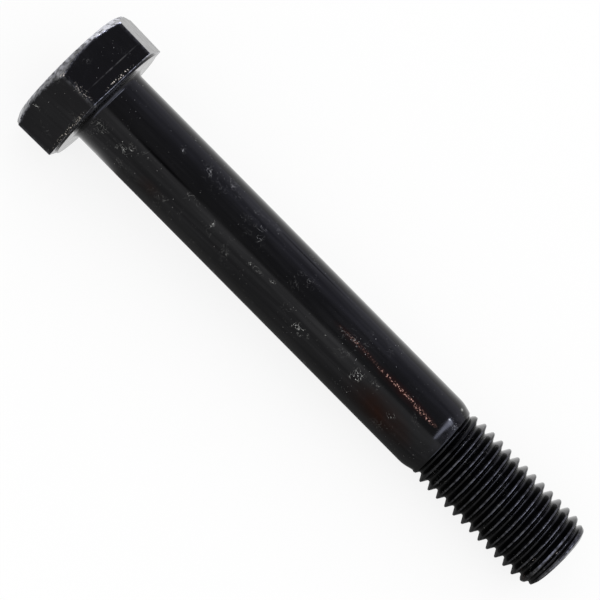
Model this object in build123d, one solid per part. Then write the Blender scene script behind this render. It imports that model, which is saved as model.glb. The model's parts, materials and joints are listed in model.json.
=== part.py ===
from build123d import *
from math import atan2, ceil, cos, degrees, radians, tan
import os

# A heavy hex structural bolt, 3/4-10 by 5-1/2 in: a forged hexagonal head with a washer face,
# a plain body, a short neck drawn down to the rolling diameter, and a rolled right-hand thread.
# It is one solid. It is modelled with its axis along +Z and its bearing face at z = 0, then laid
# down as it comes to rest, on one flat of the head and the crests of the thread near the point.
# All lengths are in millimetres and all angles in degrees.

# --- head ---
across_flats = 30.8
head_height = 11.7  # bearing face to the flat top
head_draft = 1.0  # lean of each flat, wider towards the top
corner_radius = 0.4  # upright corners of the hexagon
top_flat_diameter = 28.9
top_chamfer_angle = 30
washer_face_diameter = 29.8
washer_face_height = 0.4

# --- body ---
body_diameter = 18.66
fillet_radius = 1.2  # under the head
length = 137.5  # bearing face to the point

# --- thread ---
thread_diameter = 18.8
thread_pitch = 2.54
thread_length = 35.8  # point to the end of the neck
neck_diameter = 17.4  # what the thread is rolled on
neck_taper_length = 2.3
thread_lead_in = 3.2  # over which the first crest rises to its full height
point_taper_length = 3.95  # over which the crests fall away towards the point
point_edge_diameter = 16.8  # where that taper meets the end chamfer
point_chamfer_length = 0.54  # along the axis
point_diameter = 14.4
flank_angle = 30  # each flank against a plane square to the axis

# --- worked out from those ---
hexagon_bottom = -washer_face_height
top = -head_height
body_radius = body_diameter / 2
thread_radius = thread_diameter / 2
neck_radius = neck_diameter / 2
point_radius = point_diameter / 2
point_edge_radius = point_edge_diameter / 2
taper_start = length - point_taper_length
taper_end = length - point_chamfer_length
taper_slope = (thread_radius - point_edge_radius) / (taper_end - taper_start)
crest_width = thread_pitch / 8
thread_depth = 0.5954 * thread_pitch  # rounded-root form of the unified thread
root_radius = thread_radius - thread_depth
neck_end = length - thread_length
body_end = neck_end - neck_taper_length
crest_start = neck_end - 0.628 * thread_pitch  # a crest on the side that lies downwards
screw_start = crest_start - thread_pitch  # the screw begins a turn further up, inside the neck
spigot = 1.0  # how far the shank reaches into the screw, to join it
quarter_circle = 0.5523  # handle length of a Bezier curve that follows a quarter of a circle
flat_radius = across_flats / 2 - head_height / 2 * tan(radians(head_draft))  # at the bearing side


def turned(outline):
    """A solid of revolution about the Z axis from a closed outline in the XZ plane."""
    return revolve(make_face(Plane.XZ * outline), Axis.Z)


def head():
    """A hexagon with drafted flats, chamfered by a cone round its top."""
    hexagon = Rot(0, 0, 30) * RegularPolygon(flat_radius / cos(radians(30)), 6)
    hexagon = fillet(hexagon.vertices(), corner_radius)
    height = head_height - washer_face_height
    prism = Pos(0, 0, hexagon_bottom) * extrude(hexagon, height, dir=(0, 0, -1), taper=-head_draft)
    reach = across_flats  # well outside the corners
    drop = (reach - top_flat_diameter / 2) * tan(radians(top_chamfer_angle))
    cone = turned(
        Polyline(
            (0, hexagon_bottom + drop),
            (reach, hexagon_bottom + drop),
            (reach, top + drop),
            (top_flat_diameter / 2, top),
            (0, top),
            close=True,
        )
    )
    return prism & cone


def shank():
    """Washer face, fillet, body and neck as one turned outline, ending in a spigot inside the screw."""
    fillet_start = (body_radius + fillet_radius, 0)
    fillet_end = (body_radius, fillet_radius)
    shoulder_end = neck_end + neck_radius - root_radius
    down = Polyline(
        fillet_end,
        (body_radius, body_end),
        (neck_radius, neck_end),
        (root_radius, shoulder_end),
        (root_radius - spigot, shoulder_end + spigot),
        (0, shoulder_end + spigot),
        (0, hexagon_bottom),
        (washer_face_diameter / 2, hexagon_bottom),
        (washer_face_diameter / 2, 0),
        fillet_start,
    )
    pull = quarter_circle * fillet_radius
    under_head = Bezier(
        fillet_start,
        (fillet_start[0] - pull, 0),
        (body_radius, fillet_radius - pull),
        fillet_end,
    )
    return turned(down + under_head)


def screw():
    """A threaded rod: flank, crest, flank and root of each turn are ruled between helices."""
    half_crest = crest_width / 2
    half_base = half_crest + thread_depth * tan(radians(flank_angle))
    corners = [
        (root_radius, -half_base),
        (thread_radius, -half_crest),
        (thread_radius, half_crest),
        (root_radius, half_base),
    ]
    helices = [
        (Pos(0, 0, screw_start + rise) * Helix(thread_pitch, thread_pitch, radius)).edge()
        for radius, rise in corners
    ]
    helices.append(Pos(0, 0, thread_pitch) * helices[0])
    one_turn = [Face.make_surface_from_curves(a, b) for a, b in zip(helices, helices[1:])]
    turns = ceil((length - screw_start) / thread_pitch) + 1
    sides = [Pos(0, 0, n * thread_pitch) * face for n in range(turns) for face in one_turn]

    # each end is closed by a ruled face in to the axis and a flat one across the profile
    foot = screw_start - half_base
    spine = Edge.make_line((0, 0, foot), (0, 0, foot + thread_pitch))
    spiral = Face.make_surface_from_curves(spine, helices[0])
    profile = [(radius, screw_start + rise) for radius, rise in corners]
    next_foot = [(root_radius, foot + thread_pitch), (0, foot + thread_pitch)]
    step = make_face(Plane.XZ * Polyline((0, foot), *profile, *next_foot, close=True)).face()
    far = Pos(0, 0, turns * thread_pitch)
    return Solid(Shell([*sides, spiral, step, far * spiral, far * step]))


def thread():
    """The threaded rod cut to the envelope that its crests follow, from the neck to the point."""
    clear = thread_depth  # the envelope stands this far off the full crests
    lead_in_slope = (thread_radius - neck_radius) / thread_lead_in
    envelope = turned(
        Polyline(
            (0, neck_end),
            (neck_radius, neck_end),
            (thread_radius + clear, neck_end + thread_lead_in + clear / lead_in_slope),
            (thread_radius + clear, taper_start - clear / taper_slope),
            (point_edge_radius, taper_end),
            (point_radius, length),
            (0, length),
            close=True,
        )
    )
    return envelope & screw()


def resting_slope():
    """How far the axis runs down towards the point when the head's flat and a crest both touch the
    floor. The crests near the point are lower, so the crest that gives the least slope is the one
    that touches."""
    slopes = []
    crest = crest_start
    while crest + crest_width / 2 < taper_end:
        low, high = crest - crest_width / 2, crest + crest_width / 2
        for z in (low, min(max(taper_start, low), high), high):
            radius = thread_radius - taper_slope * max(z - taper_start, 0)
            slopes.append(degrees(atan2(flat_radius - radius, z - hexagon_bottom)))
        crest += thread_pitch
    return min(slopes)


def lie_down(solid):
    """Turn the axis to +X and let the point down until head and thread both touch the floor."""
    return Rot(0, 90 + resting_slope(), 0) * solid


if __name__ == "__main__":
    bolt = lie_down(head() + shank() + thread())
    os.makedirs("parts", exist_ok=True)
    export_step(bolt, "parts/bolt.step")
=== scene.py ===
import json
import math

import bpy
import numpy as np
from mathutils import Matrix, Vector


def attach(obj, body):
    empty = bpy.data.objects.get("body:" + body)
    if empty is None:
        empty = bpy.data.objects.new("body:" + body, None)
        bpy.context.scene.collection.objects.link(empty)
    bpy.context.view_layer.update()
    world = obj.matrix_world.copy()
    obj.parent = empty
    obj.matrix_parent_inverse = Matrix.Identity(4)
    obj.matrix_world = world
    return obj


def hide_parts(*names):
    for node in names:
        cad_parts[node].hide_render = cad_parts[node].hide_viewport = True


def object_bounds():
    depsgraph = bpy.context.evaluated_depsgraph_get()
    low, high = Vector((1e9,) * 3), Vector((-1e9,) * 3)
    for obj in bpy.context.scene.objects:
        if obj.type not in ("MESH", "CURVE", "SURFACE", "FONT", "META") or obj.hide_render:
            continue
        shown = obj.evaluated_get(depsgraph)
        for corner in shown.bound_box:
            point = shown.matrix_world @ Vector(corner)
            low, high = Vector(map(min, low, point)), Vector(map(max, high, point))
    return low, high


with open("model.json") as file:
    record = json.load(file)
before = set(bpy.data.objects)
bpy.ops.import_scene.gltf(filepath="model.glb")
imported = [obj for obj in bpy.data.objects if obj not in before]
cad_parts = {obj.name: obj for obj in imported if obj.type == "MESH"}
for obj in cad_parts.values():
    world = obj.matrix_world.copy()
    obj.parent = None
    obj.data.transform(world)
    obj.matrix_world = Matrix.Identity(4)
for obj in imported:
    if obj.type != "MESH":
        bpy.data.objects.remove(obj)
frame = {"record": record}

# A heavy hex structural bolt in hot black oxide, lying on one flat of its head and on its thread.
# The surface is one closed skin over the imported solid: every column of it is the bolt's whole
# profile, from the middle of the head's top to the middle of the point, at one angle round the axis.

cad_low, cad_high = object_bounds()
MM = 0.001

# ---------------------------------------------------------------- where the bolt lies
MOUNTS = {m["name"]: m for m in frame["record"]["mounts"]}
SEAT = np.array(MOUNTS["bearing_face"]["pos_m"])  # middle of the bearing face
AXIS = np.array(MOUNTS["bearing_face"]["axis"])
AXIS = AXIS / np.linalg.norm(AXIS)  # from the head to the point
ACROSS = np.array([0.0, 1.0, 0.0])
DOWN = np.cross(ACROSS, AXIS)  # square to the axis, towards the floor

# ---------------------------------------------------------------- sizes, mm
BODY_R = MOUNTS["shank"]["dims"]["r_mm"]
FLAT_R = 15.298  # half across the flats at the bearing side
DRAFT = math.radians(1.0)
CORNER_R = 0.4
HEX_LOW, TOP = -0.4, -11.7  # along the axis, from the bearing face
TOP_FLAT_R = 14.45
CHAMFER = math.radians(30)
CHAMFER_SHIFT = 0.69  # the chamfer was turned this far off the head's middle
SHIFT_ANGLE = math.radians(12.8)  # in this direction round the axis
HEAD_ASIDE = -0.152  # the forged head sits this far off the axis, along ACROSS
WASHER_R = 14.9
FILLET = 1.2
LENGTH = 137.5
THREAD_R, ROOT_R = 9.4, 7.888
PITCH = 2.54
CREST_W = PITCH / 8
FLANK = math.radians(30)
NECK_R, NECK_END, NECK_TAPER = 8.7, 101.7, 2.3
LEAD_IN = 3.2
POINT_R, CHAMFER_LENGTH = 7.2, 0.54  # the rim of the point
EDGE_R, TAPER_LENGTH = 8.4, 3.95  # where the taper of the last crests ends, and where it begins
FALL = (THREAD_R - EDGE_R) / (TAPER_LENGTH - CHAMFER_LENGTH)  # of that taper
SLANT = (EDGE_R - POINT_R) / CHAMFER_LENGTH  # of the chamfer round the point
CREST_START = NECK_END - 0.628 * PITCH
SCREW_END = LENGTH - 0.1  # the helical rows stop here

# tangent lengths of the roundings, mm
CREST_ROUND, ROOT_ROUND = 0.11, 0.21
NECK_ROUND, RIM_ROUND = 1.15, 0.15
RAGGED = 0.16  # how far the chamfer's forged edge wanders
FACE_ROWS = (1.5, 0.8)  # two rows of the bearing face are this far outside the fillet
PLAIN_ROWS = 12  # from the fillet to the neck
PAST = 0.15  # a little past a rounding
SAME = 0.01  # places closer than this are the same

COLUMNS = 240  # round the axis
CROWDING = 0.8  # of the head's columns towards its corners: 0 is even, 1 is all
TURN = 2 * math.pi
FACE = TURN / 6  # the angle that one flat of the hexagon takes up
EVEN = np.arange(COLUMNS + 1) / COLUMNS * TURN


# ---------------------------------------------------------------- the skin
def wobble(angle, lowest, highest, seed):
    """Smooth random line round the axis: a sum of sines of whole numbers of waves, about 1 high."""
    pick = np.random.default_rng(seed)
    waves = np.arange(lowest, highest + 1)
    size = pick.normal(size=waves.size) / np.sqrt(waves.size)
    phase = pick.uniform(0, TURN, waves.size)
    return (size * np.sin(np.multiply.outer(angle, waves) + phase)).sum(-1)


def rounded(corners, backs, steps):
    """Rows of a profile with circular corners. Each corner C is replaced by the conic
    ((1-t)^2 A + 2t(1-t)w C + t^2 B) / ((1-t)^2 + 2t(1-t)w + t^2), where A and B lie `back` before
    and after it on its two sides and w is the cosine of half the turn, so that it is an arc."""
    rows = [corners[0][None]]
    for k in range(1, len(corners) - 1):
        before, here, after = corners[k - 1 : k + 2]
        into = (before - here) / np.linalg.norm(before - here, axis=1, keepdims=True)
        out = (after - here) / np.linalg.norm(after - here, axis=1, keepdims=True)
        turn = np.clip(-(into * out).sum(1), -1, 1)
        w = np.sqrt((1 + turn) / 2)[None, :, None]
        t = np.linspace(0, 1, steps[k])[:, None, None]
        a, b = here + into * backs[k], here + out * backs[k]
        over = (1 - t) ** 2 * a + 2 * t * (1 - t) * w * here + t**2 * b
        rows.append(over / ((1 - t) ** 2 + 2 * t * (1 - t) * w + t**2))
    rows.append(corners[-1][None])
    return np.concatenate(rows)


def turned(line, backs, steps):
    """Rows of a surface of revolution: a rounded profile of (radius, place) pairs, in mm, that is
    the same at every angle."""
    corners = [np.tile(np.array(place, float), (EVEN.size, 1)) for place in line]
    return rounded(corners, backs, steps)


def off_middle(angle):
    """Angle from the middle of the nearest flat of the hexagon: the angle and half a flat's, less
    whole flats, less half a flat's."""
    return (angle + FACE / 2) % FACE - FACE / 2


def hexagon(angle, z):
    """Distance from the axis to the drafted hexagon: h / cos(a) on a flat, where a is the angle
    off the flat's middle and h grows with height, and the arc of a corner near each corner."""
    h = FLAT_R + (HEX_LOW - z) * math.tan(DRAFT)
    off = off_middle(angle)
    flat = h / np.cos(off)
    c = (h - CORNER_R) / math.cos(FACE / 2)
    d = FACE / 2 - np.abs(off)
    arc = c * np.cos(d) + np.sqrt(np.maximum(CORNER_R**2 - (c * np.sin(d)) ** 2, 0))
    tangent = np.arctan((h - CORNER_R) * math.tan(FACE / 2) / h)
    return np.where(np.abs(off) < tangent, flat, arc)


def flat_top(angle):
    """Radius of the head's flat top: a circle set off the middle, r + shift cos(a), where a is the
    angle from the direction of the shift."""
    return TOP_FLAT_R + CHAMFER_SHIFT * np.cos(angle - SHIFT_ANGLE)


def head_rows():
    """Top, chamfer, flats, bearing side, washer face and fillet. The columns crowd towards the
    six corners: angle + crowding/6 sin(6 angle)."""
    angle = EVEN + CROWDING / 6 * np.sin(6 * EVEN)
    ones = np.ones_like(angle)
    top_r = flat_top(angle)
    edge_z = TOP * ones
    for _ in range(6):  # where the chamfer's cone meets the flats, nearer at each turn
        edge_r = hexagon(angle, edge_z)
        edge_z = TOP + (edge_r - top_r) * math.tan(CHAMFER)
    edge_z = edge_z + RAGGED * wobble(angle, lowest=9, highest=60, seed=5)
    # radius, place along the axis, tangent length of the rounding and rows in it; the rings
    # beside a rounding keep its shading from spreading over the flat next to it
    profile = [
        (0, TOP, 0, 1),
        (top_r * 0.5, TOP, 0.1, 1),
        (top_r - 1.5, TOP, 0.1, 1),
        (top_r - 0.6, TOP, 0.1, 1),
        (top_r, TOP, 0.25, 5),
        (hexagon(angle, edge_z), edge_z, 0.14, 5),
        (hexagon(angle, HEX_LOW * ones), HEX_LOW, 0.13, 5),
        (WASHER_R, HEX_LOW, 0.08, 3),
        (WASHER_R, 0, 0.12, 5),
        (BODY_R + FILLET + FACE_ROWS[0], 0, 0, 1),
    ]
    radii, places, backs, steps = zip(*profile)
    corners = [np.stack([r * ones, z * ones], 1) for r, z in zip(radii, places)]
    rows = rounded(corners, backs, steps)
    above = sum(steps[:6])  # the rows down to the upper edge of the flats
    share = np.array([0.03, 0.07, 0.15, 0.3, 0.5, 0.7, 0.85, 0.93, 0.97])[:, None, None]
    flats = rows[above - 1] * (1 - share) + rows[above] * share
    rows = np.concatenate([rows[:above], flats, rows[above:]])
    angles = np.broadcast_to(angle, rows.shape[:2]).copy()
    angles[-4:] = EVEN  # the last rows, beside the fillet, are even as the body's are
    return rows[..., 0], rows[..., 1], angles


def body_rows():
    """Fillet, plain body and neck: a profile turned round the axis."""
    body_end = NECK_END - NECK_TAPER
    line = [
        (BODY_R + FILLET + FACE_ROWS[1], 0),
        (BODY_R, 0),
        (BODY_R, body_end),
        (NECK_R, NECK_END),
    ]
    steps = [1, 9, 7, 1]
    rows = turned(line, [0, FILLET, NECK_ROUND, 0], steps)
    plain_end = body_end - NECK_ROUND - PAST
    places = np.linspace(FILLET, plain_end, PLAIN_ROWS)[1:-1]
    plain = np.tile(np.array([BODY_R, 0.0]), (places.size, EVEN.size, 1))
    plain[..., 1] = places[:, None]
    above = sum(steps[:2])  # the rows of the fillet
    rows = np.concatenate([rows[:above], plain, rows[above:]])
    return rows[..., 0], rows[..., 1], np.broadcast_to(EVEN, rows.shape[:2])


def thread_section():
    """One pitch of the thread from the middle of a crest to the middle of the next, as distance
    along the axis and radius: crest, flank, root with its full radius, flank, crest."""
    flank = (THREAD_R - ROOT_R) * math.tan(FLANK)
    half_crest = CREST_W / 2
    line = [
        (0, THREAD_R),
        (half_crest, THREAD_R),
        (half_crest + flank, ROOT_R),
        (PITCH - half_crest - flank, ROOT_R),
        (PITCH - half_crest, THREAD_R),
        (PITCH, THREAD_R),
    ]
    corners = [np.array([place], float) for place in line]
    backs = [0, CREST_ROUND, ROOT_ROUND, ROOT_ROUND, CREST_ROUND, 0]
    steps = [1, 4, 5, 5, 4, 1]
    rows = rounded(corners, backs, steps)[:, 0]
    crest, root = sum(steps[:2]), sum(steps[:4])  # the rows before each flank
    down = (rows[crest - 1 : crest] + rows[crest : crest + 1]) / 2
    up = (rows[root - 1 : root] + rows[root : root + 1]) / 2
    return np.concatenate([rows[:crest], down, rows[crest:root], up, rows[root:-1]])


def full_crest(z):
    """Radius of the crests: full, less the fall times the distance past the start of the taper."""
    return THREAD_R - FALL * np.maximum(z - LENGTH + TAPER_LENGTH, 0)


def thread_rows():
    """The helical rows. Row i of a column at angle a lies at z = start + turn*P + section_i + P*a/2pi,
    so that every crest and root keeps to its own rows, and it is held between the neck's end
    and the point. Its radius is the section's, no less than the neck's shoulder leaves, and no
    more than the lead-in's cone, the crest, the taper of the last crests or the point's chamfer."""
    section = thread_section()
    first = CREST_START - PITCH
    turns = math.ceil((SCREW_END - first) / PITCH) + 1
    along = (np.arange(turns)[:, None] * PITCH + section[None, :, 0]).ravel()
    radius = np.tile(section[:, 1], turns)
    free = first + along[:, None] + PITCH * EVEN[None] / TURN
    z = np.clip(free, NECK_END, SCREW_END)
    shoulder = np.maximum(NECK_R - (z - NECK_END), ROOT_R)
    lead_in = NECK_R + (THREAD_R - NECK_R) / LEAD_IN * (z - NECK_END)
    chamfer = POINT_R + (LENGTH - z) * SLANT
    r = np.maximum(radius[:, None], shoulder)
    r = np.minimum.reduce([r, lead_in, chamfer, full_crest(z)])
    return r, z, np.broadcast_to(EVEN, r.shape)


def point_rows():
    """The rim and the flat of the point, turned round the axis."""
    line = [(POINT_R + (LENGTH - SCREW_END) * SLANT, SCREW_END), (POINT_R, LENGTH)]
    line += [(radius, LENGTH) for radius in (POINT_R - 0.3, POINT_R - 0.7, POINT_R * 0.5, 0)]
    rows = turned(line, [0, RIM_ROUND, 0.05, 0.05, 0.05, 0], [1, 5, 1, 1, 1, 1])[1:]
    return rows[..., 0], rows[..., 1], np.broadcast_to(EVEN, rows.shape[:2])


# ---------------------------------------------------------------- where it is rubbed
# each edge: how much it is rubbed, and how wide the rubbed band is in mm
RUBBED = {
    "crest": (0.07, 0.22),
    "rim": (0.3, 0.3),
    "corner": (0.07, 0.7),
    # the chamfer's amount also sets how light its stretch of painted reflection is
    "chamfer": (1.0, 0.25),
    "lip": (0.4, 0.7),
    "bearing": (0.35, 0.12),
}
HEX_CORNER = 17.5  # distance of the hexagon's corners from the axis, mm
CHAMFER_LEAST, TOP_BAND = 0.16, 0.35  # of the chamfer away from the flat top; the band beside it
LIP_DEPTH, LIP_HEIGHT = 0.12, 0.35  # how far the lip's wear reaches in, and down the flats
FADE_OUT = 0.4  # wear fades over this distance on the faces beside an edge
# painted reflection: one stretch of the chamfer, where it mirrors the white floor, is painted all over
# in the light steel of a
# rubbed edge: the middle and the half width of that stretch round the axis, how far it takes to fade,
# and how strong it is
PAINTED_REFLECTION_MIDDLE, PAINTED_REFLECTION_HALF, PAINTED_REFLECTION_FADE = math.radians(144), math.radians(38), math.radians(7)
PAINTED_REFLECTION, PAINTED_REFLECTION_BAND = 2.2, 0.1


def ramp(distance, width):
    """1 where the distance is 0 or less, falling to 0 at the width: 1 - distance / width."""
    return np.clip(1 - distance / width, 0, 1)


def wear_and_reflection(r, z, angle):
    """How far each point is rubbed: crests and rim, the head's upright corners, its chamfer, the lip
    under the chamfer and the bearing side's edge. Each is a ramp of the distance from it in mm, times
    its amount, and the greatest counts. On one stretch of the chamfer the amount is painted
    reflection, not wear."""
    amount = {name: pair[0] for name, pair in RUBBED.items()}
    width = {name: pair[1] for name, pair in RUBBED.items()}
    first_crest, chamfer_low, bearing_in = NECK_END + 1.5, HEX_LOW - 3, WASHER_R + 0.3
    on_thread, upper_head = z > first_crest, z < chamfer_low
    inside_hexagon = hexagon(angle, z) - r
    corner_away = (FACE / 2 - np.abs(off_middle(angle))) * HEX_CORNER
    top_r = flat_top(angle)
    above_cone = TOP + (r - top_r) * math.tan(CHAMFER) - z
    bright = np.clip((PAINTED_REFLECTION_HALF - np.abs(angle - PAINTED_REFLECTION_MIDDLE)) / PAINTED_REFLECTION_FADE, 0, 1)
    edge = {}
    edge["crest"] = ramp(full_crest(z) - r, width["crest"]) * on_thread
    edge["rim"] = ramp(LENGTH - z, CHAMFER_LENGTH + PAST) * ramp(POINT_R - r, width["rim"])
    edge["corner"] = ramp(corner_away, width["corner"]) * ramp(inside_hexagon, FADE_OUT)
    edge["corner"] = edge["corner"] * (z < HEX_LOW + SAME)
    # the chamfer is brightest beside the flat top, and all over its stretch of painted reflection
    beside_top = CHAMFER_LEAST + (1 - CHAMFER_LEAST) * ramp(np.abs(r - top_r), TOP_BAND)
    all_over = PAINTED_REFLECTION * bright * ramp(np.maximum(-above_cone, 0), PAINTED_REFLECTION_BAND)
    edge["chamfer"] = ramp(np.abs(above_cone), width["chamfer"]) * np.maximum(beside_top, all_over)
    edge["chamfer"] = edge["chamfer"] * ramp(top_r - r, FADE_OUT) * upper_head
    edge["lip"] = ramp(np.abs(above_cone), width["lip"]) * ramp(inside_hexagon, LIP_DEPTH)
    edge["lip"] = edge["lip"] * ramp(-above_cone, LIP_HEIGHT) * (1 - bright) * upper_head
    edge["bearing"] = ramp(np.abs(z - HEX_LOW), width["bearing"]) * (z < SAME) * (r > bearing_in)
    return np.maximum.reduce([amount[name] * edge[name] for name in RUBBED])


def bolt_mesh():
    """Every part's rows in one grid. Where the grid closes, row i of the thread's last column is
    the row one pitch on in its first; rows that fall together are merged and faces with no area
    left out. Normals are the faces' own, weighted by area, so flats stay flat beside small arcs."""
    parts = [head_rows(), body_rows(), thread_rows(), point_rows()]
    r, z, angle = (np.concatenate([part[k] for part in parts]) for k in range(3))
    where = (
        SEAT
        + MM * z[..., None] * AXIS
        + MM * (r * np.cos(angle))[..., None] * DOWN
        + MM * (r * np.sin(angle))[..., None] * ACROSS
    )
    where[: parts[0][0].shape[0] - 1] += MM * HEAD_ASIDE * ACROSS
    rows, columns = r.shape
    at = np.arange(rows * columns).reshape(rows, columns)
    a, b, c, d = at[:-1, :-1], at[1:, :-1], at[1:, 1:], at[:-1, 1:]
    halves = [np.stack([a, b, c], -1).reshape(-1, 3), np.stack([a, c, d], -1).reshape(-1, 3)]
    corners = np.concatenate(halves)
    together = 2e-7  # points closer than this, in metres, are one
    keys = np.round(where.reshape(-1, 3) / together).astype(np.int64)
    _, first, merged = np.unique(keys, axis=0, return_index=True, return_inverse=True)
    tris = merged.ravel()[corners]
    keep = (tris[:, 0] != tris[:, 1]) & (tris[:, 1] != tris[:, 2]) & (tris[:, 2] != tris[:, 0])
    tris, corners = tris[keep], corners[keep]
    points = where.reshape(-1, 3)[first]
    one, two, three = (points[tris[:, k]] for k in range(3))
    if np.einsum("ij,ij->i", one, np.cross(two, three)).sum() < 0:  # the volume, so inside out
        tris, corners = tris[:, ::-1], corners[:, ::-1]
    mesh = bpy.data.meshes.new("bolt")
    mesh.vertices.add(len(points))
    mesh.vertices.foreach_set("co", points.ravel())
    mesh.loops.add(tris.size)
    mesh.loops.foreach_set("vertex_index", tris.ravel().astype(np.int32))
    mesh.polygons.add(len(tris))
    mesh.polygons.foreach_set("loop_start", np.arange(0, tris.size, 3, dtype=np.int32))
    mesh.update(calc_edges=True)
    mesh.validate()
    one, two, three = (points[tris[:, k]] for k in range(3))
    face = np.cross(two - one, three - one)
    normal = np.zeros_like(points)
    for k in range(3):
        np.add.at(normal, tris[:, k], face)
    normal /= np.linalg.norm(normal, axis=1, keepdims=True)
    mesh.shade_smooth()
    mesh.normals_split_custom_set_from_vertices(normal.tolist())
    # the surface unrolled: arc length on the body, and distance along the axis, both in mm
    layer = mesh.uv_layers.new(name="unrolled")
    flat = np.stack([angle.ravel() * BODY_R, z.ravel()], 1)[corners.ravel()]
    layer.uv.foreach_set("vector", flat.ravel().astype(np.float32))
    # the attribute holds the wear, and on one stretch of the chamfer a painted reflection
    worn = mesh.attributes.new("worn", "FLOAT", "POINT")
    worn.data.foreach_set("value", wear_and_reflection(r, z, angle).ravel()[first].astype(np.float32))
    return mesh


# ---------------------------------------------------------------- where the surface is marked
# each: angle round the axis in degrees, distance from the bearing face, half size round the bolt
# and along it in mm, amount from 0 to 1
LINT = [
    (223.5, 78.7, 2.3, 2.2, 1.0), (211.4, 69.1, 1.0, 1.8, 0.9), (234.2, 63.5, 1.3, 4.0, 0.9),
    (215.6, 34.5, 1.9, 0.7, 0.9), (215.5, 38.0, 1.1, 1.8, 0.8), (231.5, 10.9, 2.9, 2.8, 0.7),
    (174.6, 18.4, 0.8, 1.5, 0.6), (170.0, 26.1, 2.3, 2.6, 0.45), (181.0, 42.7, 4.4, 3.1, 0.4),
    (212.7, 52.7, 0.6, 1.9, 0.9), (175.4, 75.6, 0.7, 1.3, 0.8), (247.4, -9.0, 0.5, 1.0, 0.8),
    (231.8, -6.2, 0.5, 0.5, 0.8), (212.0, 27.0, 1.2, 3.0, 0.6), (216.0, 46.0, 0.8, 4.0, 0.6),
    (228.0, 90.0, 1.2, 1.5, 0.7), (60.0, 30.0, 3.0, 4.0, 0.7), (20.0, 72.0, 2.5, 3.0, 0.7),
    (330.0, 50.0, 2.5, 5.0, 0.6), (95.0, 88.0, 2.0, 3.0, 0.6),
]
SCRATCHES_AND_GLINTS = [  # one across a flat of the head, three specks of painted highlight in the neck's glint, one on the side away
    (177.5, -3.6, 5.2, 0.20, 0.26), (173.9, 99.1, 0.3, 0.26, 0.9), (174.2, 101.0, 0.25, 0.2, 0.8),
    (142.0, 99.8, 1.0, 0.45, 0.9), (300.0, 40.0, 0.10, 8.0, 0.4),
]
RUST = [  # a line of beads along the body, and a spot on the thread
    (192.6, 87.0, 0.5, 10.0, 1.0), (194.6, 94.6, 0.6, 4.4, 1.0), (190.8, 74.5, 0.4, 7.0, 0.5),
    (268.0, 134.6, 1.0, 0.8, 0.5),
]
STAIN = [(193.5, 88.0, 1.5, 11.0, 0.7), (191.5, 74.0, 1.2, 8.0, 0.45)]  # round the line of rust
DEEP = [  # dark scores along the body
    (152.4, 55.2, 0.34, 15.0, 1.0), (206.0, 18.0, 0.5, 13.0, 0.8), (137.0, 80.0, 0.14, 16.0, 0.6),
]
BROWN = [  # where the black skin is thin
    (240.0, 87.5, 5.0, 11.0, 1.0), (246.0, 19.5, 2.6, 4.0, 0.5), (40.0, 55.0, 4.0, 8.0, 0.8),
]
BARE = [  # knocked edges of the head and of two crests
    (180.7, -1.05, 2.9, 0.45, 0.9), (208.5, -4.0, 0.5, 3.4, 0.4), (241.0, -0.9, 4.2, 0.6, 0.5),
    (210.0, -9.5, 0.5, 0.5, 0.9), (228.0, 133.0, 0.8, 0.35, 1.0), (196.0, 135.3, 1.0, 0.35, 0.7),
    (90.0, -1.0, 5.0, 0.5, 0.6), (330.0, -1.0, 5.0, 0.5, 0.6),
]

# each pattern: size of one feature in mm, detail, how far it is drawn out along the bolt, the
# stretch of the noise that is used, and the values at that stretch's two ends
PATTERNS = {
    # the skin comes off in flakes 1 mm across, with finer ones inside them
    "worn_skin": (0.9091, 4.0, 1.0, 0.38, 0.58, 0.1, 1.0),
    # oil has dried in patches a centimetre across
    "mottle": (11.11, 3.0, 2.0, 0.35, 0.65, 0.0, 1.0),
    # drawing lines are 0.1 mm apart, too fine to show, and are drawn 1 mm apart
    "streaks": (0.9091, 1.0, 40.0, 0.35, 0.65, 0.0, 1.0),
    # where the skin is thin, oil has dried in drops of 5 mm
    "dried_oil": (5.0, 2.0, 1.0, 0.30, 0.70, 0.4, 1.0),
    # lint clings in tufts 3 mm across, and loose bits of it in places 6 mm across
    "tufts": (3.030, 1.0, 1.0, 0.45, 0.53, 0.0, 1.0),
    "stray_lint": (5.882, 2.0, 1.5, 0.54, 0.72, 0.0, 0.4),
    # grains of dust are 0.03 mm, too fine to show, and are drawn 0.1 mm: the peaks of 0.34 mm bumps
    "grains": (0.3448, 1.0, 1.0, 0.755, 0.785, 0.0, 1.0),
    # and lie thicker in places 9 mm across
    "dusty": (9.091, 2.0, 1.0, 0.42, 0.64, 0.08, 0.65),
    # a scratch skips over hollows 1.4 mm long
    "broken": (1.429, 2.0, 1.0, 0.38, 0.55, 0.15, 1.0),
    # rust comes up in beads of 0.3 mm, and has seeped out 3 mm
    "beaded": (0.3333, 2.0, 1.0, 0.50, 0.62, 0.0, 0.8),
    "seeped": (3.333, 2.0, 1.0, 0.30, 0.70, 0.4, 1.0),
    # a score has gaps 10 mm apart
    "gapped": (2.0, 1.0, 5.0, 0.30, 0.38, 0.0, 1.0),
    # a knocked edge is bare in specks of 0.4 mm
    "specks": (0.3846, 2.0, 1.0, 0.57, 0.63, 0.0, 1.0),
    # the film of oil thickens and thins over 2 mm, and the gloss with it
    "gloss": (2.0, 3.0, 1.0, 0.30, 0.70, 0.13, 0.19),
    # the drawn body is wavy over 9 mm round it and 80 mm along it
    "drawn": (9.091, 2.0, 9.0, 0.0, 1.0, 0.0, 1.0),
    # forging scale has left pits of 1.4 mm and finer
    "forged": (1.429, 4.0, 1.0, 0.0, 1.0, 0.0, 1.0),
}
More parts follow.
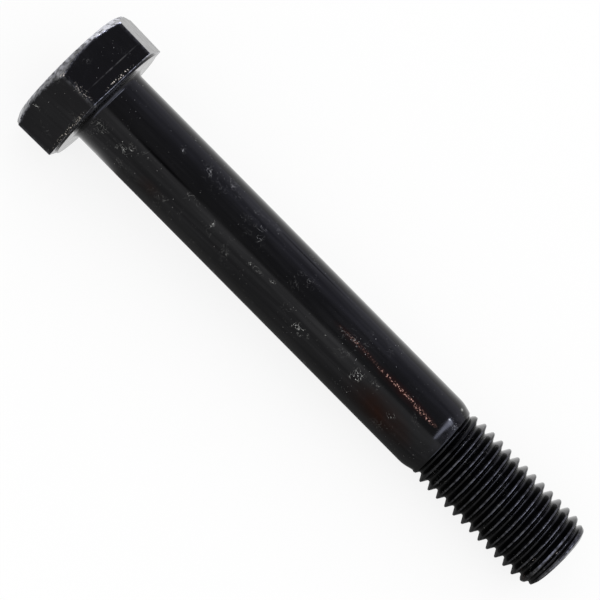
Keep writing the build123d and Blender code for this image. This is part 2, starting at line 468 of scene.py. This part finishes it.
# depths in mm, set by how they catch the light
DRAWN_DEPTH, FORGED_DEPTH = 0.05, 0.04
RUBBED_PITS = 3.0  # times as deep on a rubbed edge as on the head
HEAD_ROUGHER = 0.05  # roughness that forging adds to the head's
COATED_ROUGH = 0.7  # roughness of lint, dust and rust
SHADOWED = 0.16  # the share of the sheet's white that a shadow can take
# hairs of lint: the size of their curls in mm, and half of the stretch of noise that one takes up
CURL, HAIR = 2.5, 0.0075


# ---------------------------------------------------------------- finishes
def linear(code):
    """An sRGB hex colour as linear red, green, blue and 1."""
    parts = [int(code[k : k + 2], 16) / 255 for k in (1, 3, 5)]
    return [c / 12.92 if c <= 0.04045 else ((c + 0.055) / 1.055) ** 2.4 for c in parts] + [1.0]


def add(tree, kind, inputs=None, output=0, **settings):
    """Adds a node and returns one of its outputs, if it has any. `inputs` gives a value, or another
    node's output to link, for each socket, and the settings are its properties."""
    node = tree.nodes.new(kind)
    for name, value in settings.items():
        setattr(node, name, value)
    for key, value in (inputs or {}).items():
        if isinstance(value, bpy.types.NodeSocket):
            tree.links.new(value, node.inputs[key])
        else:
            node.inputs[key].default_value = value
    return node.outputs[output] if len(node.outputs) else None


def material(name):
    """An empty material and its node tree."""
    m = bpy.data.materials.new(name)
    m.use_nodes = True
    m.node_tree.nodes.clear()
    return m, m.node_tree


def marks(tree, unrolled, table, edge):
    """The amount of each ellipse of a table, fading from `edge` of its half sizes to its rim;
    where ellipses meet, the greater."""
    total = None
    for angle, z, wide, long, amount in table:
        centre = (-math.radians(angle) * BODY_R / wide, -z / long, 0)
        scaled = add(
            tree, "ShaderNodeMapping",
            {"Vector": unrolled, "Scale": (1 / wide, 1 / long, 0), "Location": centre},
        )
        far = add(tree, "ShaderNodeVectorMath", {0: scaled}, "Value", operation="LENGTH")
        one = add(
            tree, "ShaderNodeMapRange",
            {"Value": far, "From Min": edge, "From Max": 1.0, "To Min": amount, "To Max": 0.0},
        )
        if total is not None:
            one = add(tree, "ShaderNodeMath", {0: total, 1: one}, operation="MAXIMUM")
        total = one
    return total


def black_oxide():
    """Hot black oxide on forged and rolled steel, oiled: a thin black skin with a metal's gloss,
    greyer where edges are rubbed, with lint and dust in the oil and a little rust at the surface.
    A painted reflection lightens one stretch of the head's chamfer, and specks of painted highlight
    dot the neck's glint."""
    m, tree = material("black_oxide_steel")
    place = add(tree, "ShaderNodeTexCoord", output="Object")
    unrolled = add(tree, "ShaderNodeUVMap", uv_map="unrolled")
    worn = add(tree, "ShaderNodeAttribute", output="Fac", attribute_name="worn")
    pattern = {}
    for name, (size, detail, drawn_out, low, high, least, most) in PATTERNS.items():
        where = add(tree, "ShaderNodeMapping", {"Vector": place, "Scale": (1 / drawn_out, 1, 1)})
        sockets = {"Vector": where, "Scale": 1 / (size * MM), "Detail": detail}
        noise = add(tree, "ShaderNodeTexNoise", sockets)
        pattern[name] = add(
            tree, "ShaderNodeMapRange",
            {"Value": noise, "From Min": low, "From Max": high, "To Min": least, "To Max": most},
        )
    # curled hairs lie where a warped noise crosses its middle value. Real ones are 0.02 mm thick,
    # too fine to show, and are drawn 0.1 mm
    curls = add(
        tree, "ShaderNodeTexNoise",
        {"Vector": place, "Scale": 1 / (CURL * MM), "Detail": 2.0, "Distortion": 2.0},
    )
    hairs = add(tree, "ShaderNodeMath", {0: curls, 1: 0.5, 2: HAIR}, operation="COMPARE")
    tufts = add(tree, "ShaderNodeMath", {0: hairs, 1: pattern["tufts"]}, operation="MULTIPLY")
    clinging = marks(tree, unrolled, LINT, 0.35)
    gathered = add(
        tree, "ShaderNodeMath", {0: clinging, 1: pattern["stray_lint"]}, operation="MAXIMUM"
    )
    amount = {}
    for name, one, other in (
        # rubbed edges, and on one stretch of the chamfer a painted reflection
        ("rubbed", worn, pattern["worn_skin"]),
        ("oily", pattern["mottle"], pattern["streaks"]),
        ("thin_skin", marks(tree, unrolled, BROWN, 0.1), pattern["dried_oil"]),
        ("stained", marks(tree, unrolled, STAIN, 0.0), pattern["seeped"]),
        ("scored", marks(tree, unrolled, DEEP, 0.3), pattern["gapped"]),
        ("lint", tufts, gathered),
        ("dust", pattern["grains"], pattern["dusty"]),
        # scratches, and specks of painted highlight on the neck
        ("scratched", marks(tree, unrolled, SCRATCHES_AND_GLINTS, 0.0), pattern["broken"]),
        ("rusted", marks(tree, unrolled, RUST, 0.35), pattern["beaded"]),
        ("bare", marks(tree, unrolled, BARE, 0.5), pattern["specks"]),
    ):
        amount[name] = add(tree, "ShaderNodeMath", {0: one, 1: other}, operation="MULTIPLY")
    # the black skin, then what has worn it or lies on it
    colour = linear("#1E1E1F")
    for name, code in (
        ("oily", "#272728"),
        # light steel of rubbed edges, also used for the chamfer's painted reflection
        ("rubbed", "#CFD0DA"),
        ("thin_skin", "#25150F"),
        ("stained", "#3A1712"),
        ("scored", "#040405"),
        ("lint", "#B4B4B0"),
        ("dust", "#B4B4B0"),
        # light grey of the scratches, also painted on the neck as specks of highlight
        ("scratched", "#A4A4A0"),
        ("rusted", "#AE8070"),
        ("bare", "#C8BFB4"),
    ):
        sockets = {"Factor": amount[name], "A": colour, "B": linear(code)}
        colour = add(tree, "ShaderNodeMix", sockets, "Result", data_type="RGBA")
    # what lies on the skin is matt and no metal
    coated = 0.0
    for name in ("lint", "dust", "scratched", "rusted", "bare"):
        coated = add(tree, "ShaderNodeMath", {0: coated, 1: amount[name]}, operation="MAXIMUM")
    metal = add(tree, "ShaderNodeMath", {0: 1.0, 1: coated}, operation="SUBTRACT")
    along = add(tree, "ShaderNodeSeparateXYZ", {0: unrolled}, "Y")
    on_head = add(
        tree, "ShaderNodeMapRange",
        {"Value": along, "From Min": HEX_LOW, "From Max": 0.0, "To Min": 1.0, "To Max": 0.0},
    )
    # the forged head is a little rougher than the body, and what lies on the skin much rougher
    sockets = {0: on_head, 1: HEAD_ROUGHER, 2: pattern["gloss"]}
    skin = add(tree, "ShaderNodeMath", sockets, operation="MULTIPLY_ADD")
    matt = add(tree, "ShaderNodeMath", {0: coated, 1: COATED_ROUGH}, operation="MULTIPLY")
    rough = add(tree, "ShaderNodeMath", {0: skin, 1: matt}, operation="MAXIMUM")
    # the body is drawn along its length; the head's skin is forged, and rubbed edges are rougher yet
    drawn = add(
        tree, "ShaderNodeBump",
        {"Height": pattern["drawn"], "Strength": 1.0, "Distance": DRAWN_DEPTH * MM},
    )
    sockets = {0: worn, 1: RUBBED_PITS, 2: on_head}
    pitted = add(tree, "ShaderNodeMath", sockets, operation="MULTIPLY_ADD")
    forged = add(tree, "ShaderNodeMath", {0: pattern["forged"], 1: pitted}, operation="MULTIPLY")
    relief = add(
        tree, "ShaderNodeBump",
        {"Height": forged, "Strength": 1.0, "Distance": FORGED_DEPTH * MM, "Normal": drawn},
    )
    shader = add(
        tree, "ShaderNodeBsdfPrincipled",
        {"Base Color": colour, "Roughness": rough, "Metallic": metal, "Normal": relief},
    )
    add(tree, "ShaderNodeOutputMaterial", {"Surface": shader})
    return m


def sheet():
    """Backlit white acrylic: it glows white by itself, and its matt face keeps a faint shadow of
    what lies on it."""
    m, tree = material("backlit_white_acrylic")
    lit = add(tree, "ShaderNodeEmission", {"Color": linear("#FFFFFF"), "Strength": 1.0})
    matt = add(tree, "ShaderNodeBsdfDiffuse", {"Color": linear("#FFFFFF")})
    both = add(tree, "ShaderNodeMixShader", {0: SHADOWED, 1: lit, 2: matt})
    add(tree, "ShaderNodeOutputMaterial", {"Surface": both})
    return m


def lit_nylon(name):
    """White nylon lit from behind: an even glow without gloss, as bright at each point as the
    mesh's "light" says."""
    m, tree = material(name + "_lit_white_nylon")
    light = add(tree, "ShaderNodeAttribute", output="Color", attribute_name="light")
    lit = add(tree, "ShaderNodeEmission", {"Color": light, "Strength": 1.0})
    add(tree, "ShaderNodeOutputMaterial", {"Surface": lit})
    return m


# ---------------------------------------------------------------- the bolt
bolt = bpy.data.objects.new("bolt_body", bolt_mesh())
bpy.context.scene.collection.objects.link(bolt)
bolt.data.materials.append(black_oxide())
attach(bolt, "root")
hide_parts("bolt")

# ---------------------------------------------------------------- the camera
LENS, SENSOR = 183.15, 36.0  # mm
DISTANCE = 655.0  # mm
VIEW_ANGLE = math.radians(247.2)  # round the bolt's axis, from straight down
LEAN = 0.015  # the head's end is this much nearer, as an angle
MIDDLE, ASIDE = 58.914, -0.206  # where it aims: along the axis and beside it, mm
ROLL = math.radians(45.297)
SIDE = math.cos(VIEW_ANGLE) * DOWN + math.cos(VIEW_ANGLE + math.pi / 2) * ACROSS
FACING = math.sin(VIEW_ANGLE) * DOWN + math.sin(VIEW_ANGLE + math.pi / 2) * ACROSS
aim = SEAT + MM * (MIDDLE * AXIS + ASIDE * SIDE)
towards = math.cos(LEAN) * FACING - math.sin(LEAN) * AXIS
along_view = math.cos(LEAN) * AXIS + math.sin(LEAN) * FACING
right = math.cos(ROLL) * along_view + math.sin(ROLL) * SIDE
up = -math.sin(ROLL) * along_view + math.cos(ROLL) * SIDE
camera = bpy.data.objects.new("camera", bpy.data.cameras.new("camera"))
bpy.context.scene.collection.objects.link(camera)
camera.data.sensor_width = SENSOR
camera.data.lens = LENS
camera.data.clip_start, camera.data.clip_end = 0.01, 20
pointed = Matrix([[right[k], up[k], towards[k]] for k in range(3)]).to_4x4()
camera.matrix_world = Matrix.Translation(Vector(aim + MM * DISTANCE * towards)) @ pointed
bpy.context.scene.camera = camera

# ---------------------------------------------------------------- floor
REACH = 3.0  # from the middle to each side, metres
sides = [(-REACH, -REACH), (REACH, -REACH), (REACH, REACH), (-REACH, REACH)]
floor_mesh = bpy.data.meshes.new("floor")
floor_mesh.from_pydata([(x, y, cad_low.z) for x, y in sides], [], [(0, 1, 2, 3)])
floor = bpy.data.objects.new("floor", floor_mesh)
bpy.context.scene.collection.objects.link(floor)
floor.data.materials.append(sheet())


# ---------------------------------------------------------------- light
def card(name, points, light):
    """A studio card that only reflections see: a grid of points, and the linear red, green and
    blue that each of them gives."""
    rows, columns = points.shape[:2]
    at = np.arange(rows * columns).reshape(rows, columns)
    faces = np.stack([at[:-1, :-1], at[:-1, 1:], at[1:, 1:], at[1:, :-1]], -1).reshape(-1, 4)
    mesh = bpy.data.meshes.new(name)
    mesh.from_pydata(points.reshape(-1, 3).tolist(), [], faces.tolist())
    given = np.ones((rows * columns, 4), np.float32)
    given[:, :3] = np.broadcast_to(light, points.shape).reshape(-1, 3)
    mesh.attributes.new("light", "FLOAT_COLOR", "POINT").data.foreach_set("color", given.ravel())
    mesh.materials.append(lit_nylon(name))
    held = bpy.data.objects.new(name, mesh)
    bpy.context.scene.collection.objects.link(held)
    held.visible_camera = held.visible_diffuse = held.visible_shadow = False


def curved(turn, lean, distance):
    """Points round the bolt's middle, in the directions
    cos(lean) (cos(turn) SIDE + sin(turn) FACING) + sin(lean) AXIS; both angles in degrees."""
    turn, lean = np.radians(turn)[..., None], np.radians(lean)[..., None]
    way = np.cos(lean) * (np.cos(turn) * SIDE + np.sin(turn) * FACING) + np.sin(lean) * AXIS
    return SEAT + MM * MIDDLE * AXIS + distance * way


def lamp(code, strength):
    """Linear red, green and blue of a lamp: its sRGB hex colour times its strength."""
    return strength * np.array(linear(code)[:3])


# a tent over the bolt: its turn in degrees, and how bright and how blue it is there; it leans
# as far towards the head's end as towards the point's
TENT_LEAN = (-75, 75)
TENT = np.array([
    (-22.8, 1.35, 1.15), (-5, 1.45, 1.15), (5, 1.25, 1.15), (12, 0.85, 1.18), (18, 0.82, 1.2),
    (24, 0.95, 1.2), (30, 0.78, 1.16), (42, 0.56, 1.12), (60, 0.52, 1.08), (92, 0.46, 1.03),
    (96.5, 0.46, 1.0), (99, 1.5, 1.0), (108, 1.45, 1.0), (117, 1.22, 1.0), (127, 1.02, 1.0),
    (142, 0.9, 1.0), (157, 0.8, 1.0),
])
tent_turn, tent_lean = np.meshgrid(TENT[:, 0], np.linspace(*TENT_LEAN, 9))
level = np.broadcast_to(TENT[:, 1], tent_turn.shape)
tent_light = np.stack([level, level, level * TENT[:, 2]], -1)
card("tent", curved(tent_turn, tent_lean, distance=2.2), tent_light)

# a strip light that the neck and the fillets mirror: its two ends' turns, and the leans of its
# two long edges at those ends, all in degrees
STRIP_TURN, STRIP_NEAR, STRIP_FAR = (26, 98), (14, 22), (29, 27)
strip_turn, share = np.meshgrid(np.linspace(*STRIP_TURN, 13), np.linspace(0, 1, 5))
near = np.interp(strip_turn, STRIP_TURN, STRIP_NEAR)
far = np.interp(strip_turn, STRIP_TURN, STRIP_FAR)
strip_lean = near * (1 - share) + far * share
strip_points = curved(strip_turn, strip_lean, distance=2.0)
card("strip_light", strip_points, lamp("#E6EBFF", strength=11.0))

# a wide light past the point, which the flanks of the thread mirror
END_TURN, END_LEAN = (15, 165), (38, 72)
end_turn, end_lean = np.meshgrid(np.linspace(*END_TURN, 13), np.linspace(*END_LEAN, 9))
card("end_light", curved(end_turn, end_lean, distance=2.1), lamp("#E8ECFF", strength=4.0))

# the shade that the bolt casts on the sheet beside it, as its lower side mirrors it: the
# distance to the side of the axis in mm, and the share of the sheet's white that is left
SHADE = np.array([
    (-300, 1.0), (-150, 0.85), (-80, 0.74), (-45, 0.62), (-28, 0.48), (-20, 0.34), (-12.5, 0.12),
    (6, 0.03),
])
# along the bolt, in metres, it fades over 40 mm at the head's end where it is 150 mm from the
# bolt, over 7 mm where it is 30 mm from it, and over 12 mm at the point's end
SHADE_START, SHADE_END = SEAT[0] + 0.004, cad_high.x + 0.02
FAR_AND_NEAR, HEAD_FADE, POINT_FADE = (-0.15, -0.03), (0.04, 0.007), 0.012
OVER_FLOOR = 0.00005
shade_x, shade_y = np.meshgrid(np.linspace(SHADE_START, SHADE_END, 90), SHADE[:, 0] * MM)
fade = np.clip((shade_x - SHADE_START) / np.interp(shade_y, FAR_AND_NEAR, HEAD_FADE), 0, 1)
fade = fade * np.clip((SHADE_END - shade_x) / POINT_FADE, 0, 1)
left = 1 - (1 - SHADE[:, 1][:, None]) * fade
shade_z = np.full_like(shade_x, cad_low.z + OVER_FLOOR)
card("shade", np.stack([shade_x, shade_y, shade_z], -1), np.repeat(left[..., None], 3, -1))

world = bpy.data.worlds.new("studio")
bpy.context.scene.world = world
world.use_nodes = True
world.node_tree.nodes["Background"].inputs["Color"].default_value = (1, 1, 1, 1)
world.node_tree.nodes["Background"].inputs["Strength"].default_value = 1.0

bpy.context.scene.view_settings.view_transform = "Standard"
